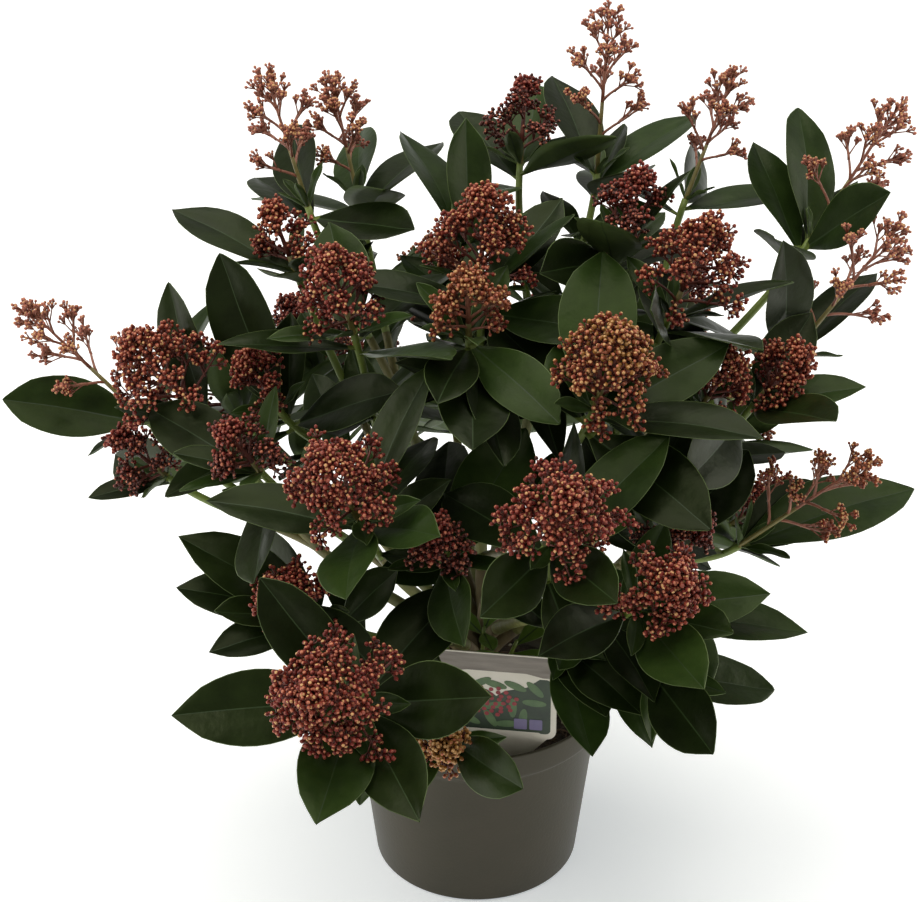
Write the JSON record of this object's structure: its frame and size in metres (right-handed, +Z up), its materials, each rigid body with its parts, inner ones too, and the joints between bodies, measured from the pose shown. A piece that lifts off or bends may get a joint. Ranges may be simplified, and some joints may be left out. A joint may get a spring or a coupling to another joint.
{
  "type": "potted skimmia",
  "caption": "Evergreen skimmia shrub in bud: leathery leaves in rosettes under panicles of red flower buds, in a round plastic nursery pot with a plant label.",
  "frame": {"origin": "centre of the pot's flat underside", "axes": "+Z up, -Y towards the front with the label, +X to the right"},
  "size_m": [0.5578, 0.5657, 0.5382],
  "materials": {
    "pot": "smooth matt, taupe grey",
    "compost": "crumbly, matt",
    "label": "printed card, satin",
    "stem": "smooth bark",
    "bough": "smooth green bark",
    "foliage": "leathery, half gloss"
  },
  "bodies": {
    "root": {"pot": "pot", "compost": "compost", "plant_label": "label", "main_stem": "stem", "bough_front_left": "bough", "foliage_front_left": "foliage", "bough_front_right": "bough", "foliage_front_right": "foliage", "bough_right_low": "bough", "foliage_right_low": "foliage", "bough_front_high": "bough", "foliage_front_high": "foliage", "bough_left_front": "bough", "foliage_left_front": "foliage", "bough_left": "bough", "foliage_left": "foliage", "bough_left_high": "bough", "foliage_left_high": "foliage", "bough_top_front": "bough", "foliage_top_front": "foliage", "bough_back_left_high": "bough", "foliage_back_left_high": "foliage", "bough_top": "bough", "foliage_top": "foliage", "bough_right_high": "bough", "foliage_right_high": "foliage", "bough_right_front": "bough", "foliage_right_front": "foliage", "bough_back_left": "bough", "foliage_back_left": "foliage", "bough_back": "bough", "foliage_back": "foliage", "bough_back_right": "bough", "foliage_back_right": "foliage"}
  },
  "joints": []
}
